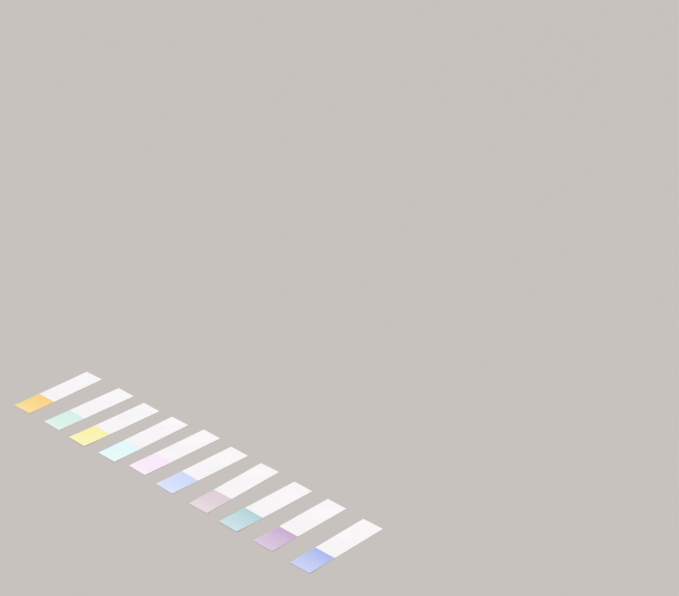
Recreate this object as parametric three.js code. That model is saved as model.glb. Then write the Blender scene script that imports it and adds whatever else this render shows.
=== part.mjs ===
// A row of sticky index tabs, as they lie side by side once they are peeled and put down.
//
// Each tab is one strip of thin frosted plastic film. Its long clear end is glued underneath,
// can be written on and can be peeled off again. Its short end is printed in one colour and
// carries no glue, so it can stand out past the edge of a page. Put down flat, it bows up a hair.
//
// Units are millimetres. X runs along the row, Y from the coloured ends to the clear ends,
// and Z points up from the surface that the tabs lie on.

import * as THREE from "three";

// One strip of film
const FILM_LENGTH = 44.5;
const FILM_WIDTH = 11.2;
const FILM_THICKNESS = 0.1;
const PRINT_LENGTH = 15;

// The free end follows an arc that starts at the end of the glue
const ARC_STEPS = 8;

// The row: how far it is from the middle of one tab to the middle of the next
const TAB_SPACING = 20.5;

// Frosted film, and how much of it shows through
const FILM_COLOUR = 0xfaf8fb;
const FILM_ROUGHNESS = 0.55;
const FILM_OPACITY = 0.85;
const PRINT_ROUGHNESS = 0.45;
const PRINT_OPACITY = 0.92;

// Each tab's two materials by number, and the corners of a triangle
const FILM = 0;
const PRINT = 1;
const CORNERS = 3;

// The tabs in order. They are put down by hand, so each one has its own small faults:
// along   how far it lies past its even place along the row
// inset   how far its print line lies in from the line of the row
// turn    how far it is turned, in degrees
// lift    how high the underside of its tip stands above the surface
const TABS = [
  { name: "tab_orange", colour: 0xfbcb78, along: 0, inset: 0.1, turn: 1.3, lift: 0.15 },
  { name: "tab_mint", colour: 0xcfeee2, along: 2, inset: 0.3, turn: -0.7, lift: 0.1 },
  { name: "tab_yellow", colour: 0xf8ec94, along: 1, inset: -0.6, turn: -0.7, lift: 0.2 },
  { name: "tab_aqua", colour: 0xcdf3fa, along: 0.3, inset: 0.2, turn: 0.5, lift: 0.15 },
  { name: "tab_pink", colour: 0xf6dcf6, along: -1.6, inset: 2.5, turn: -0.9, lift: 0.1 },
  { name: "tab_periwinkle", colour: 0xc0cff9, along: -2, inset: 0.9, turn: -1, lift: 0.15 },
  { name: "tab_mauve", colour: 0xe3d0dc, along: -1.1, inset: 0.8, turn: 2, lift: 0.1 },
  { name: "tab_teal", colour: 0xaadbdf, along: -1.3, inset: 0.1, turn: -0.7, lift: 0.2 },
  { name: "tab_lilac", colour: 0xd2b3da, along: -1.1, inset: 0.4, turn: 0.2, lift: 0.15 },
  { name: "tab_blue", colour: 0xb2c2f2, along: 0.5, inset: -0.1, turn: 0.8, lift: 0.15 },
];

// The strip seen from its long edge, with Y to the right and Z up. The glued stretch is flat
// and runs from the print line at 0 to the clear end. The free end is an arc as long as the
// print, which leaves the flat stretch without a kink and rises by the lift at its tip.
function stripProfile(lift) {
  const sweep = (2 * lift) / PRINT_LENGTH;
  const radius = PRINT_LENGTH / sweep;
  const gluedLength = FILM_LENGTH - PRINT_LENGTH;
  const down = -Math.PI / 2;
  const profile = new THREE.Shape();
  profile.moveTo(gluedLength, 0);
  profile.lineTo(gluedLength, FILM_THICKNESS);
  profile.absarc(0, radius, radius - FILM_THICKNESS, down, down - sweep, true);
  profile.absarc(0, radius, radius, down - sweep, down, false);
  profile.closePath();
  return profile;
}

// The strip as a solid, with its width along X and its print line on the X axis. An arc gets
// two steps for each of curveSegments.
function stripGeometry(lift) {
  const geometry = new THREE.ExtrudeGeometry(stripProfile(lift), {
    depth: FILM_WIDTH,
    bevelEnabled: false,
    curveSegments: ARC_STEPS / 2,
  });
  geometry.translate(0, 0, -FILM_WIDTH / 2);
  geometry.rotateY(Math.PI / 2);
  geometry.rotateX(Math.PI / 2);
  return geometry;
}

// The print is a coat of ink on the film and not a piece of its own, so it is a second
// material on the faces of the free end: those with no corner past the print line.
function markPrint(geometry) {
  const position = geometry.getAttribute("position");
  const past = FILM_THICKNESS / 2;
  geometry.clearGroups();
  for (let first = 0; first < position.count; first += CORNERS) {
    const corners = [first, first + 1, first + 2];
    const farthest = Math.max(...corners.map((corner) => position.getY(corner)));
    geometry.addGroup(first, CORNERS, farthest < past ? PRINT : FILM);
  }
  return geometry;
}

function filmMaterial() {
  return new THREE.MeshStandardMaterial({
    color: FILM_COLOUR,
    roughness: FILM_ROUGHNESS,
    metalness: 0,
    transparent: true,
    opacity: FILM_OPACITY,
  });
}

function printMaterial(colour) {
  return new THREE.MeshStandardMaterial({
    color: colour,
    roughness: PRINT_ROUGHNESS,
    metalness: 0,
    transparent: true,
    opacity: PRINT_OPACITY,
  });
}

function makeTab(tab, index) {
  const geometry = markPrint(stripGeometry(tab.lift));
  const mesh = new THREE.Mesh(geometry, [filmMaterial(), printMaterial(tab.colour)]);
  mesh.name = tab.name;
  mesh.position.set(index * TAB_SPACING + tab.along, tab.inset, 0);
  mesh.rotation.z = THREE.MathUtils.degToRad(tab.turn);
  return mesh;
}

// The row, moved so that the middle of its footprint is the origin.
function makeRow() {
  const row = new THREE.Group();
  TABS.forEach((tab, index) => row.add(makeTab(tab, index)));
  const middle = new THREE.Box3().setFromObject(row, true).getCenter(new THREE.Vector3());
  row.position.set(-middle.x, -middle.y, 0);
  row.updateMatrixWorld(true);
  return row;
}

const indexTabs = new THREE.Group();
indexTabs.add(makeRow());

export default indexTabs;
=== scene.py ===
import math

import bpy
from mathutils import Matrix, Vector


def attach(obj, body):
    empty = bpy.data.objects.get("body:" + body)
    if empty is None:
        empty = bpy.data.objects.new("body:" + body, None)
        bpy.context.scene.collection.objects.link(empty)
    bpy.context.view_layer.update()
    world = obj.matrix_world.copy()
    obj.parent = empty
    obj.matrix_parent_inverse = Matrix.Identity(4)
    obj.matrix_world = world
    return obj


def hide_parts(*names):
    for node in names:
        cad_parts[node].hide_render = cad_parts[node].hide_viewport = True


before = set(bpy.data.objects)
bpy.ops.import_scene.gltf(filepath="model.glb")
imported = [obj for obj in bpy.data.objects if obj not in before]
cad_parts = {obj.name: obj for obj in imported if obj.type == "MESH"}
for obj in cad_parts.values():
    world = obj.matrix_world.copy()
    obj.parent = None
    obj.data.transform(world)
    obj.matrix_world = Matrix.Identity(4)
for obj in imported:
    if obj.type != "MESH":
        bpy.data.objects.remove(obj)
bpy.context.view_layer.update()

MM = 0.001

# Camera, at the photograph's place over the row
CAMERA_PLACE = (0.54955, -0.47146, 0.4457)
CAMERA_AZIMUTH = 44.08
CAMERA_ELEVATION = 26.74
IMAGE_WIDTH = 679
FOCAL_LENGTH_PIXELS = 1891
SENSOR_WIDTH_MM = 36.0

# Floor, and a backdrop of the colour that the floor has in this light
FLOOR_SIZE = 40.0
FLOOR_DEPTH = 0.02 * MM
FLOOR_COLOUR = (0.525, 0.490, 0.468)
FLOOR_ROUGHNESS = 0.8
FLOOR_SHINE = 0.2
BACKDROP_COLOUR = (0.578, 0.539, 0.515)

# Light: an even sky and one soft lamp, whose direction points from the row to it
WORLD_COLOUR = (0.99, 0.99, 1.0)
WORLD_STRENGTH = 0.74
KEY_DIRECTION = (-0.35, -0.55, 1.0)
KEY_SOFTNESS = 35
KEY_STRENGTH = 1.35

# Reading a tab's place: how low its flat face is, and how near its ends a corner belongs to them
FLAT = 0.0005 * MM
END_REACH = 1 * MM

# Film: its round corners and soft cut edges. The underside has a share of the top's rounding
CORNER_RADIUS = 0.2 * MM
EDGE_ROUNDING = 0.03 * MM
UNDERSIDE_ROUNDING = 0.3

# Film: how finely it is divided. The lines near an edge are given in roundings and in radii
ROUNDING_LINES = (0.0, 0.25, 1.0, 2.0)
CORNER_LINES = (0.5, 0.75, 1.0, 2.0)
FREE_STEPS = 26
GLUED_STEPS = 22
CROSS_STEPS = 8

# Frost: its colour (linear) where it is whitest, and the share of that which it has at the print.
# It gets whiter between two shares of the glued length, and in patches
FROST_COLOUR = (0.985, 0.964, 0.980)
FROST_SHADE = 0.965
WHITENING_SPAN = (0.2, 0.8)
WHITENING_SHARE = 0.6
PATCH_SHARE = 0.4

# Ink, counted in layers, 1 in the middle of the print. Fewer layers at the tip and more at the frosted
# strip are partly the ink and partly painted shade. From below it looks a little whiter
INK_AND_SHADE_AT_TIP = 0.75
INK_UNEVENNESS = 0.5
WHITE = (1.0, 1.0, 1.0)
WHITE_FROM_BELOW = 0.15

# Print: how far it fades out over its end and how far its end wanders, in mm
PRINT_FADE = 0.05
PRINT_WOBBLE = 0.10

# Rim: the cut edge, which is less see-through, and paler by a painted highlight where the edge catches
# the light. Its width is in mm
RIM_WIDTH = 0.16
RIM_HIGHLIGHT_COLOUR = (0.97, 0.97, 0.97)
RIM_HIGHLIGHT_SHARE = 0.35
RIM_OPACITY = 0.1

# Opacity of the film's two sides, and how much the clouds change it
FROST_OPACITY = 0.92
PRINT_OPACITY = 0.93
UNDERSIDE_OPACITY = 0.25
CLOUD_OPACITY = 0.05

# The film's fine grain, the streaks along it and its clouds. Their scales are per mm, and each
# tab has its own stretch of them, a step away from the last one's
GRAIN_SCALE = 5.5
GRAIN_DETAIL = 3.0
GRAIN_RANGE = (0.3, 0.7)
STREAK_SCALE = 2.2
STREAK_DETAIL = 2.0
STREAK_STRETCH = 0.06
CLOUD_SCALE = 0.16
CLOUD_DETAIL = 3.0
CLOUD_RANGE = (0.35, 0.65)
SEED_STEP = 7.3

# Surface. The tooth is by how much the grain darkens and lightens the colour
TOOTH = (0.97, 1.005)
FROST_ROUGHNESS = 0.46
GLUE_ROUGHNESS = 0.24
PRINT_ROUGHNESS = 0.38
STREAK_ROUGHNESS = 0.12
STREAK_HEIGHT = 0.8
BUMP_STRENGTH = 0.35
BUMP_DEPTH = 0.02 * MM
FILM_IOR = 1.5

# Where a mix node has its sockets for two colours and their result, and for two numbers
MIX_COLOURS = (6, 7)
MIX_COLOUR_RESULT = 2
MIX_NUMBERS = (2, 3)

# The tabs: name, colour of the print (linear), how many more layers of ink there are at the
# frosted strip, partly painted shade, and how far one corner of the free end hangs lower, in mm
TABS = [
    ("orange", (0.99, 0.70, 0.25), 0.13, 0.05),
    ("mint", (0.71, 0.91, 0.84), 0.13, 0.03),
    ("yellow", (0.99, 0.93, 0.43), 0.10, -0.06),
    ("aqua", (0.79, 0.98, 0.99), 0.13, 0.04),
    ("pink", (0.99, 0.84, 0.97), 0.05, -0.03),
    ("periwinkle", (0.66, 0.74, 0.99), 0.12, 0.05),
    ("mauve", (0.78, 0.66, 0.71), 0.13, -0.03),
    ("teal", (0.54, 0.74, 0.78), 0.33, -0.07),
    ("lilac", (0.67, 0.51, 0.71), 0.33, 0.05),
    ("blue", (0.52, 0.59, 0.92), 0.42, -0.05),
]


def mean(points):
    return sum(points, Vector()) / len(points)


def free_arc(line, along, tip):
    """Length and radius of the arc that leaves the flat stretch at the print line."""
    run = (line - tip).dot(along)
    sweep = 2 * math.atan2(tip.z, run)
    radius = run / math.sin(sweep)
    return radius * sweep, radius


def lie(node):
    """Where a tab lies and its sizes, from the corners of its solid."""
    corners = [v.co.copy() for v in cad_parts[node].data.vertices]
    flat = [c for c in corners if c.z < FLAT]
    first_y, last_y = min(c.y for c in flat), max(c.y for c in flat)
    tip_y = min(c.y for c in corners)
    clear_ends = [c for c in flat if c.y > last_y - END_REACH]
    tips = sorted((c for c in corners if c.y < tip_y + END_REACH), key=lambda c: c.z)
    line = mean([c for c in flat if c.y < first_y + END_REACH])
    clear = mean(clear_ends)
    tip = mean(tips[: len(tips) // 2])
    along = (clear - line).normalized()
    across = Vector((along.y, -along.x, 0))
    sideways = [(c - clear).dot(across) for c in clear_ends]
    free, radius = free_arc(line, along, tip)
    return {
        "line": line,
        "along": along,
        "across": across,
        "width": max(sideways) - min(sideways),
        "glued": (clear - line).length,
        "free": free,
        "radius": radius,
        "thickness": max(c.z for c in corners if c.y > last_y - END_REACH),
    }


def spread(start, end, steps):
    """Even values from start to end, without start itself."""
    return [start + (end - start) * (i + 1) / steps for i in range(steps)]


def film_grid(size):
    """The grid's places along and across the film. They lie close together near its edges."""
    margin = [share * EDGE_ROUNDING for share in ROUNDING_LINES]
    margin += [share * CORNER_RADIUS for share in CORNER_LINES]
    reach = margin[-1]
    back = margin[-2::-1]
    start, stop, half = -size["free"], size["glued"], size["width"] / 2
    rows = [start + m for m in margin]
    rows += spread(start + reach, 0, FREE_STEPS)
    rows += spread(0, stop - reach, GLUED_STEPS)
    rows += [stop - m for m in back]
    columns = [m - half for m in margin]
    columns += spread(reach - half, half - reach, CROSS_STEPS)
    columns += [half - m for m in back]
    return rows, columns


def rounded_corner(out_s, out_t):
    """A point's distances from two edges, moved from a square corner onto a round one."""
    if out_s >= CORNER_RADIUS or out_t >= CORNER_RADIUS:
        return out_s, out_t, min(out_s, out_t)
    u = 1 - out_s / CORNER_RADIUS
    v = 1 - out_t / CORNER_RADIUS
    in_s = CORNER_RADIUS * u * math.sqrt(1 - v * v / 2)
    in_t = CORNER_RADIUS * v * math.sqrt(1 - u * u / 2)
    near = max(0.0, CORNER_RADIUS - math.hypot(in_s, in_t))
    return CORNER_RADIUS - in_s, CORNER_RADIUS - in_t, near


def on_film(size, s, t):
    """A grid point's place along and across the film, and its distance from the film's edge."""
    start, stop, half = -size["free"], size["glued"], size["width"] / 2
    out_s, out_t, near = rounded_corner(min(s - start, stop - s), half - abs(t))
    place = start + out_s if s - start < stop - s else stop - out_s
    return place, math.copysign(half - out_t, t), near


def film_point(size, s, t, height, droop):
    """A point of the film: s along it from the print line, t across it, height above its underside."""
    if s >= 0:
        place = size["line"] + size["along"] * s
        up = Vector((0, 0, 1))
    else:
        angle = -s / size["radius"]
        run = size["radius"] * math.sin(angle)
        rise = size["radius"] * (1 - math.cos(angle))
        low_side = 0.5 + math.copysign(t, droop) / size["width"]
        fall = abs(droop) * MM * low_side * (s / size["free"]) ** 2
        place = size["line"] - size["along"] * run + Vector((0, 0, rise - fall))
        up = size["along"] * math.sin(angle) + Vector((0, 0, math.cos(angle)))
    return place + size["across"] * t + up * height


def film_height(size, near, under):
    """Height above the underside at a distance from the edge, where the cut is a little soft."""
    worn = max(0.0, 1 - near / EDGE_ROUNDING)
    sunk = EDGE_ROUNDING * (1 - math.sqrt(1 - worn * worn))
    return UNDERSIDE_ROUNDING * sunk if under else size["thickness"] - sunk


def grid_faces(long, wide):
    """Faces of the top, of the underside and of the cut edge all round."""
    under = wide * long
    faces = []
    for r in range(long - 1):
        for c in range(wide - 1):
            a = r * wide + c
            faces.append((a, a + 1, a + wide + 1, a + wide))
            faces.append((under + a, under + a + wide, under + a + wide + 1, under + a + 1))
    loop = list(range(wide))
    loop += [r * wide + wide - 1 for r in range(1, long)]
    loop += [(long - 1) * wide + c for c in range(wide - 2, -1, -1)]
    loop += [r * wide for r in range(long - 2, 0, -1)]
    for a, b in zip(loop, loop[1:] + loop[:1]):
        faces.append((b, a, under + a, under + b))
    return faces


def film_mesh(name, size, droop):
    """The strip as one closed mesh. Its attributes say where on the film a point is, in mm."""
    rows, columns = film_grid(size)
    points = []
    marks = {"along": [], "across": [], "edge": [], "under": []}
    for under in (0.0, 1.0):
        for row in rows:
            for column in columns:
                s, t, near = on_film(size, row, column)
                height = film_height(size, near, under)
                points.append(film_point(size, s, t, height, droop))
                marks["along"].append(s / MM)
                marks["across"].append(t / MM)
                marks["edge"].append(near / MM)
                marks["under"].append(under)
    mesh = bpy.data.meshes.new(name)
    mesh.from_pydata(points, [], grid_faces(len(rows), len(columns)))
    for title, values in marks.items():
        attribute = mesh.attributes.new(title, "FLOAT", "POINT")
        attribute.data.foreach_set("value", values)
    for polygon in mesh.polygons:
        polygon.use_smooth = True
    mesh.update()
    return mesh


class Nodes:
    """Short calls for making a node tree."""

    def __init__(self, tree):
        self.tree = tree
        tree.nodes.clear()

    def add(self, kind, **values):
        node = self.tree.nodes.new(kind)
        for key, value in values.items():
            setattr(node, key, value)
        return node

    def put(self, socket, value):
        if isinstance(value, bpy.types.NodeSocket):
            self.tree.links.new(value, socket)
        else:
            socket.default_value = value

    def attribute(self, name):
        return self.add("ShaderNodeAttribute", attribute_name=name).outputs["Fac"]

    def math(self, operation, a, b=0.0):
        node = self.add("ShaderNodeMath", operation=operation)
        self.put(node.inputs[0], a)
        self.put(node.inputs[1], b)
        return node.outputs[0]

    def swing(self, value, size):
        """A noise value turned into a change of up to about half the size, up or down."""
        return self.math("MULTIPLY", self.math("SUBTRACT", value, 0.5), size)

    def remap(self, value, low, high, to_low=0.0, to_high=1.0, smooth=False):
        kind = "SMOOTHSTEP" if smooth else "LINEAR"
        node = self.add("ShaderNodeMapRange", interpolation_type=kind)
        for socket, number in zip(node.inputs, (value, low, high, to_low, to_high)):
            self.put(socket, number)
        return node.outputs[0]

    def mix(self, share, a, b):
        node = self.add("ShaderNodeMix", data_type="RGBA")
        self.put(node.inputs["Factor"], share)
        for number, colour in zip(MIX_COLOURS, (a, b)):
            made = isinstance(colour, bpy.types.NodeSocket)
            self.put(node.inputs[number], colour if made else (*colour, 1.0))
        return node.outputs[MIX_COLOUR_RESULT]

    def mix_number(self, share, a, b):
        node = self.add("ShaderNodeMix", data_type="FLOAT")
        self.put(node.inputs["Factor"], share)
        for number, value in zip(MIX_NUMBERS, (a, b)):
            self.put(node.inputs[number], value)
        return node.outputs[0]

    def scale(self, vector, factor):
        node = self.add("ShaderNodeVectorMath", operation="SCALE")
        self.put(node.inputs[0], vector)
        self.put(node.inputs["Scale"], factor)
        return node.outputs[0]

    def noise(self, vector, scale, detail):
        node = self.add("ShaderNodeTexNoise")
        self.put(node.inputs["Vector"], vector)
        node.inputs["Scale"].default_value = scale
        node.inputs["Detail"].default_value = detail
        return node.outputs["Fac"]

    def finish(self, kind, shader):
        output = self.add(kind)
        self.put(output.inputs["Surface"], shader)


def film_signals(n, seed):
    """What the film's colour, opacity and surface are made from. Lengths among it are in mm."""
    on = {title: n.attribute(title) for title in ("along", "across", "edge", "under")}
    place = n.add("ShaderNodeCombineXYZ")
    n.put(place.inputs[0], on["across"])
    n.put(place.inputs[1], on["along"])
    place.inputs[2].default_value = seed * SEED_STEP
    drawn = n.add("ShaderNodeVectorMath", operation="MULTIPLY")
    n.put(drawn.inputs[0], place.outputs[0])
    drawn.inputs[1].default_value = (1.0, STREAK_STRETCH, 1.0)
    on["grain"] = n.noise(place.outputs[0], GRAIN_SCALE, GRAIN_DETAIL)
    on["streaks"] = n.noise(drawn.outputs[0], STREAK_SCALE, STREAK_DETAIL)
    on["cloud"] = n.noise(place.outputs[0], CLOUD_SCALE, CLOUD_DETAIL)
    ragged = n.math("ADD", on["along"], n.swing(on["grain"], PRINT_WOBBLE))
    on["printed"] = n.remap(ragged, -PRINT_FADE, PRINT_FADE, 1.0, 0.0, smooth=True)
    # The rim's mask: it carries a painted highlight in the colour and a higher opacity
    on["rim"] = n.remap(on["edge"], 0.0, RIM_WIDTH, 1.0, 0.0, smooth=True)
    return on


def layered(ink, layers):
    """The colour of so many layers of an ink."""
    return tuple(c**layers for c in ink)


def print_colour(n, on, ink, deeper_ink_and_shade, size):
    """Paler at the tip and deeper at the frosted strip, partly the ink and partly painted shade, drawn
    out a little unevenly.
    """
    tip = -size["free"] / MM
    # Painted shade: the print gets paler towards the tip and deeper towards the frosted strip, darkest
    # at the print line
    outer = n.mix(n.remap(on["along"], tip, tip / 2), layered(ink, INK_AND_SHADE_AT_TIP), ink)
    deeper_and_shaded = n.remap(on["along"], tip / 2, 0.0)
    deeper_and_shaded = n.math("ADD", deeper_and_shaded, n.swing(on["streaks"], INK_UNEVENNESS))
    both = n.mix(deeper_and_shaded, outer, layered(ink, 1 + deeper_ink_and_shade))
    return n.mix(n.math("MULTIPLY", on["under"], WHITE_FROM_BELOW), both, WHITE)


def frost_colour(n, on, size):
    """White, a little greyer towards the print and in soft patches."""
    shade = tuple(c * FROST_SHADE for c in FROST_COLOUR)
    low, high = (share * size["glued"] / MM for share in WHITENING_SPAN)
    whiter = n.remap(on["along"], low, high, 0.0, WHITENING_SHARE, smooth=True)
    patches = n.remap(on["cloud"], *CLOUD_RANGE, 0.0, PATCH_SHARE)
    return n.mix(n.math("ADD", whiter, patches), shade, FROST_COLOUR)


def film_colour(n, on, ink, deeper_ink_and_shade, size):
    """Frost or print, under a fine tooth, with the painted highlight of the rim over both."""
    frost = frost_colour(n, on, size)
    colour = n.mix(on["printed"], frost, print_colour(n, on, ink, deeper_ink_and_shade, size))
    colour = n.scale(colour, n.remap(on["grain"], *GRAIN_RANGE, *TOOTH))
    # Painted highlight: the colour goes paler along the cut edge
    return n.mix(n.math("MULTIPLY", on["rim"], RIM_HIGHLIGHT_SHARE), colour, RIM_HIGHLIGHT_COLOUR)


def film_opacity(n, on):
    """The upper side holds the frost and the ink. The underside is nearly clear."""
    opacity = n.mix_number(on["printed"], FROST_OPACITY, PRINT_OPACITY)
    opacity = n.math("ADD", opacity, n.swing(on["cloud"], CLOUD_OPACITY))
    opacity = n.math("ADD", opacity, n.math("MULTIPLY", on["rim"], RIM_OPACITY))
    opacity = n.math("MINIMUM", opacity, 1.0)
    return n.mix_number(on["under"], opacity, UNDERSIDE_OPACITY)


def film_roughness(n, on):
    """Frosted above, glossier where the glue is, and smoother where it is printed."""
    glued = n.mix_number(on["under"], FROST_ROUGHNESS, GLUE_ROUGHNESS)
    roughness = n.mix_number(on["printed"], glued, PRINT_ROUGHNESS)
    return n.math("ADD", roughness, n.swing(on["streaks"], STREAK_ROUGHNESS))


def film_bump(n, on):
    """The grain, and the streaks that rolling left along the film."""
    bump = n.add("ShaderNodeBump")
    bump.inputs["Strength"].default_value = BUMP_STRENGTH
    bump.inputs["Distance"].default_value = BUMP_DEPTH
    streaks = n.math("MULTIPLY", on["streaks"], STREAK_HEIGHT)
    n.put(bump.inputs["Height"], n.math("ADD", on["grain"], streaks))
    return bump.outputs[0]


def film_material(name, ink, deeper_ink_and_shade, size, seed):
    material = bpy.data.materials.new(name)
    material.use_nodes = True
    n = Nodes(material.node_tree)
    on = film_signals(n, seed)
    shader = n.add("ShaderNodeBsdfPrincipled")
    n.put(shader.inputs["Base Color"], film_colour(n, on, ink, deeper_ink_and_shade, size))
    n.put(shader.inputs["Roughness"], film_roughness(n, on))
    n.put(shader.inputs["Alpha"], film_opacity(n, on))
    n.put(shader.inputs["Normal"], film_bump(n, on))
    shader.inputs["IOR"].default_value = FILM_IOR
    n.finish("ShaderNodeOutputMaterial", shader.outputs[0])
    return material


def make_film(index, name, ink, deeper_ink_and_shade, droop):
    node = f"tab_{name}"
    size = lie(node)
    mesh = film_mesh(f"film_{name}", size, droop)
    mesh.materials.append(film_material(f"{name}_film", ink, deeper_ink_and_shade, size, index + 1))
    film = bpy.data.objects.new(f"film_{name}", mesh)
    bpy.context.collection.objects.link(film)
    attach(film, "root")
    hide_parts(node)


def make_camera():
    camera = bpy.data.objects.new("camera", bpy.data.cameras.new("camera"))
    bpy.context.collection.objects.link(camera)
    azimuth, elevation = math.radians(CAMERA_AZIMUTH), math.radians(CAMERA_ELEVATION)
    level = math.cos(elevation)
    back = Vector((math.sin(azimuth) * level, -math.cos(azimuth) * level, math.sin(elevation)))
    camera.location = CAMERA_PLACE
    camera.rotation_euler = back.to_track_quat("Z", "Y").to_euler()
    camera.data.sensor_width = SENSOR_WIDTH_MM
    camera.data.lens = SENSOR_WIDTH_MM * FOCAL_LENGTH_PIXELS / IMAGE_WIDTH
    bpy.context.scene.camera = camera


def make_floor():
    half = FLOOR_SIZE / 2
    corners = [(-half, -half), (half, -half), (half, half), (-half, half)]
    mesh = bpy.data.meshes.new("floor")
    mesh.from_pydata([(x, y, -FLOOR_DEPTH) for x, y in corners], [], [(0, 1, 2, 3)])
    floor = bpy.data.objects.new("floor", mesh)
    bpy.context.collection.objects.link(floor)
    material = bpy.data.materials.new("floor")
    material.use_nodes = True
    n = Nodes(material.node_tree)
    shader = n.add("ShaderNodeBsdfPrincipled")
    shader.inputs["Base Color"].default_value = (*FLOOR_COLOUR, 1.0)
    shader.inputs["Roughness"].default_value = FLOOR_ROUGHNESS
    shader.inputs["Specular IOR Level"].default_value = FLOOR_SHINE
    n.finish("ShaderNodeOutputMaterial", shader.outputs[0])
    mesh.materials.append(material)


def make_sky():
    """An even light, which looks as pale as the floor where it is seen or mirrored."""
    world = bpy.data.worlds.new("studio")
    bpy.context.scene.world = world
    world.use_nodes = True
    n = Nodes(world.node_tree)
    light = n.add("ShaderNodeBackground")
    light.inputs["Color"].default_value = (*WORLD_COLOUR, 1.0)
    light.inputs["Strength"].default_value = WORLD_STRENGTH
    backdrop = n.add("ShaderNodeBackground")
    backdrop.inputs["Color"].default_value = (*BACKDROP_COLOUR, 1.0)
    path = n.add("ShaderNodeLightPath").outputs
    seen = n.math("MAXIMUM", path["Is Camera Ray"], path["Is Transmission Ray"])
    seen = n.math("MAXIMUM", seen, path["Is Glossy Ray"])
    either = n.add("ShaderNodeMixShader")
    n.put(either.inputs[0], seen)
    n.put(either.inputs[1], light.outputs[0])
    n.put(either.inputs[2], backdrop.outputs[0])
    n.finish("ShaderNodeOutputWorld", either.outputs[0])


def make_key():
    lamp = bpy.data.lights.new("key", "SUN")
    lamp.angle = math.radians(KEY_SOFTNESS)
    lamp.energy = KEY_STRENGTH
    key = bpy.data.objects.new("key", lamp)
    key.rotation_euler = Vector(KEY_DIRECTION).to_track_quat("Z", "Y").to_euler()
    bpy.context.collection.objects.link(key)


make_camera()
make_floor()
make_sky()
make_key()
for index, tab in enumerate(TABS):
    make_film(index, *tab)

bpy.context.scene.view_settings.view_transform = "Standard"
